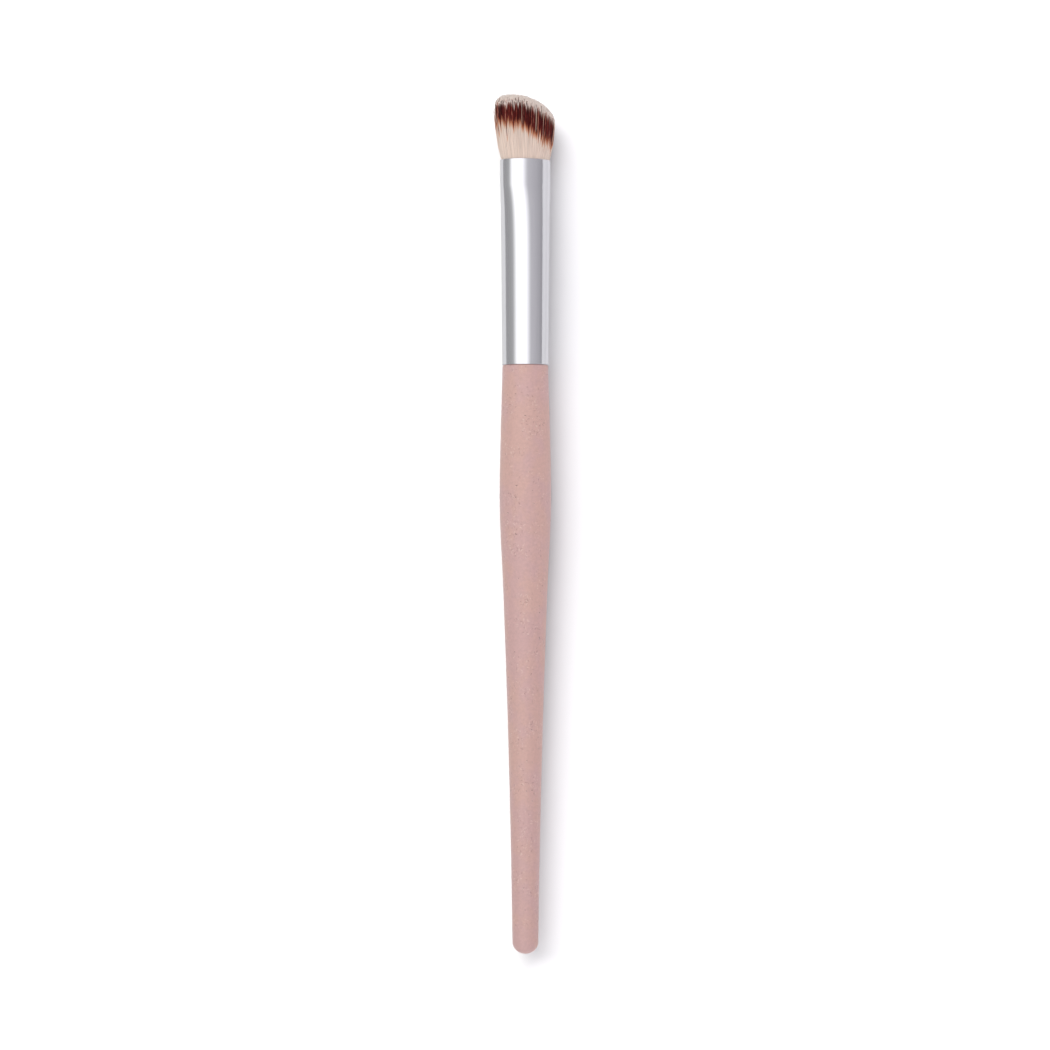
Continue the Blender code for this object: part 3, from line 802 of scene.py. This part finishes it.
# Hidden pieces' looks: two colours, how fine the mottling is, roughness.
ROOT_LOOK = (linear(222, 200, 180), linear(196, 168, 140), 900, 0.45)
THREAD_LOOK = (linear(236, 230, 218), linear(212, 203, 186), 2600, 0.8)
EPOXY_LOOK = (linear(200, 182, 144), linear(186, 164, 122), 300, 0.25)
ADHESIVE_LOOK = (linear(216, 207, 180), linear(198, 186, 154), 500, 0.4)


def plain_surface(name, look):
    """A mottled surface between two colours, with a little relief."""
    one, other, scale, roughness = look
    made, tree, shader, place = new_surface(name, roughness)
    mottle = noise(tree, place, scale, 3.0)
    colour = blended(tree, between(tree, mottle, 0.35, 0.65), one, other)
    tree.links.new(colour, shader.inputs["Base Color"])
    raise_surface(tree, shader, mottle, 0.02 * MM)
    return made


def dress_hidden_nodes(nodes):
    looks = {
        "tie_thread": ("waxed thread", THREAD_LOOK),
        "root_plug": ("cured epoxy", EPOXY_LOOK),
        "glue_ring": ("set adhesive", ADHESIVE_LOOK),
    }
    surfaces = {start: plain_surface(name, look) for start, (name, look) in looks.items()}
    for name, node in nodes.items():
        for start, surface in surfaces.items():
            if name.startswith(start):
                for slot in node.material_slots:
                    slot.material = surface


# Stage

CAMERA_PLACE = (-0.08 * MM, -0.15 * MM, 0.5981)
LENS = 102.86
SENSOR = 36.0

# On the shadow's side the floor is tinted a little cooler, a painted cool cast for the shadow and for the
# floor that the metal mirrors there. The camera sees it FLOOR_GAIN times as bright as it is.
FLOOR_SIZE = 16.0
FLOOR_COLOUR = (0.33, 0.33, 0.33, 1)
FLOOR_SHADOW_TINT = (0.331, 0.3275, 0.334, 1)
COOL_BLEND = (-2 * MM, 2 * MM)
FLOOR_GAIN = 1.63

# What metal shows of the floor, against what light it casts: pale near the brush and dim past PAPER_EDGE.
PAPER_IN_METAL = 1.09
DIM_IN_METAL = 0.5
PAPER_EDGE = -24.5 * MM
PAPER_BLEND = 3 * MM

# Metal also shows the strip beside the brush, where the shadow is deepest, this much paler. The strip begins
# and ends softly, each between two places across the floor.
SHADE_LIFTED = 0.5
SHADE_STARTS = (0, 4 * MM)
SHADE_ENDS = (6 * MM, 17 * MM)

# The studio's light by direction, in degrees from straight up, positive to the left: what it casts, and what
# metal shows of it, which is a softbox over the brush and to its left between grey walls.
CAST_LEVELS = ((-90, 0.74), (-45, 0.86), (0, 1.05), (40, 1.0), (90, 0.84))
SHOWN_LEVELS = (
    (-90, 0.37),
    (-72, 0.47),
    (-50, 0.55),
    (-26, 0.63),
    (-6, 1.4),
    (42, 1.4),
    (61, 0.52),
    (75, 0.42),
    (90, 0.4),
)
MOST_LIGHT = 2.0

# Light from the right is cooler. The change begins at COOL_FROM degrees and is full COOL_SPAN further right.
COOL_SIDE = (0.99, 0.965, 1.02)
COOL_FROM = 20
COOL_SPAN = 60

# The lamp that casts the shadow lights the floor alone. It is a wide soft disc, high and to the left.
KEY_POWER = 11.0
KEY_WIDTH = math.radians(90)
KEY_LEAN = math.radians(49.7)
KEY_FORWARD = math.radians(53.5)


def make_camera():
    data = bpy.data.cameras.new("camera")
    data.lens = LENS
    data.sensor_width = SENSOR
    camera = bpy.data.objects.new("camera", data)
    bpy.context.scene.collection.objects.link(camera)
    camera.location = CAMERA_PLACE
    bpy.context.scene.camera = camera


def mirrored_ray(tree, path):
    """1 for the rays that show what metal and glass mirror or let through, 0 for the rest."""
    return calc(tree, "MAXIMUM", path.outputs["Is Glossy Ray"], path.outputs["Is Transmission Ray"])


def floor_surface():
    """Plain and pale. The camera sees it bright enough to be white outside the shadow."""
    surface = bpy.data.materials.new("pale floor")
    surface.use_nodes = True
    tree = surface.node_tree
    tree.nodes.remove(tree.nodes["Principled BSDF"])
    across = add(tree, "SeparateXYZ", {0: add(tree, "TexCoord").outputs["Object"]}).outputs[0]
    path = add(tree, "LightPath")
    paper = between(tree, across, PAPER_EDGE - PAPER_BLEND, PAPER_EDGE + PAPER_BLEND)
    in_metal = calc(tree, "MULTIPLY_ADD", paper, PAPER_IN_METAL - DIM_IN_METAL, DIM_IN_METAL - 1)
    before_end = between(tree, across, *reversed(SHADE_ENDS))
    strip = calc(tree, "MULTIPLY", between(tree, across, *SHADE_STARTS), before_end)
    in_metal = calc(tree, "MULTIPLY_ADD", strip, SHADE_LIFTED, in_metal)
    gain = calc(tree, "MULTIPLY_ADD", mirrored_ray(tree, path), in_metal, 1.0)
    gain = calc(tree, "MULTIPLY_ADD", path.outputs["Is Camera Ray"], FLOOR_GAIN - 1, gain)
    # The floor's painted cool tint, on the shadow's side.
    tone = blended(tree, between(tree, across, *COOL_BLEND), FLOOR_COLOUR, FLOOR_SHADOW_TINT)
    diffuse = add(tree, "BsdfDiffuse", {"Color": shaded(tree, tone, gain)})
    tree.links.new(diffuse.outputs[0], tree.nodes["Material Output"].inputs["Surface"])
    return surface


def make_floor():
    half = FLOOR_SIZE / 2
    corners = [(-half, -half, 0), (half, -half, 0), (half, half, 0), (-half, half, 0)]
    mesh = bpy.data.meshes.new("floor")
    mesh.from_pydata(corners, [], [(0, 1, 2, 3)])
    mesh.materials.append(floor_surface())
    floor = bpy.data.objects.new("floor", mesh)
    bpy.context.scene.collection.objects.link(floor)
    return floor


def make_key(floor):
    """The floor's own lamp. The brush stands in its way, so the shadow falls to the right."""
    data = bpy.data.lights.new("key", "SUN")
    data.energy = KEY_POWER
    data.angle = KEY_WIDTH
    lamp = bpy.data.objects.new("key", data)
    bpy.context.scene.collection.objects.link(lamp)
    lamp.rotation_euler = (-KEY_FORWARD, -KEY_LEAN, 0)
    lit = bpy.data.collections.new("lit by the key")
    lit.objects.link(floor)
    lamp.light_linking.receiver_collection = lit


def level_ramp(tree, turn, levels):
    """Colour by direction, cooler to the right, as a share of MOST_LIGHT."""
    stops = []
    for degrees, level in levels:
        cool = min(max((COOL_FROM - degrees) / COOL_SPAN, 0), 1)
        colour = [level / MOST_LIGHT * (1 + cool * (side - 1)) for side in COOL_SIDE]
        stops.append((0.5 + degrees / 180, (*colour, 1)))
    return ramp(tree, turn, stops)


def make_world():
    """Soft studio light. The camera sees plain white."""
    world = bpy.data.worlds.new("studio")
    bpy.context.scene.world = world
    world.use_nodes = True
    tree = world.node_tree
    towards = add(tree, "SeparateXYZ", {0: add(tree, "TexCoord").outputs["Generated"]})
    left = calc(tree, "MULTIPLY", towards.outputs[0], -1.0)
    turn = calc(tree, "MULTIPLY_ADD", calc(tree, "ARCTAN2", left, towards.outputs[2]), 1 / math.pi, 0.5)
    path = add(tree, "LightPath")
    cast, shown = level_ramp(tree, turn, CAST_LEVELS), level_ramp(tree, turn, SHOWN_LEVELS)
    colour = blended(tree, mirrored_ray(tree, path), cast, shown)
    colour = blended(tree, path.outputs["Is Camera Ray"], colour, (1 / MOST_LIGHT,) * 3 + (1,))
    background = tree.nodes["Background"]
    tree.links.new(colour, background.inputs["Color"])
    background.inputs["Strength"].default_value = MOST_LIGHT


def main():
    for old in list(bpy.data.objects):
        bpy.data.objects.remove(old)
    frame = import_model()
    bpy.context.scene.view_settings.view_transform = "Standard"
    make_camera()
    make_handle()
    make_ferrule()
    make_filaments()
    make_bonded_root()
    dress_hidden_nodes(frame["nodes"])
    make_key(make_floor())
    make_world()


main()
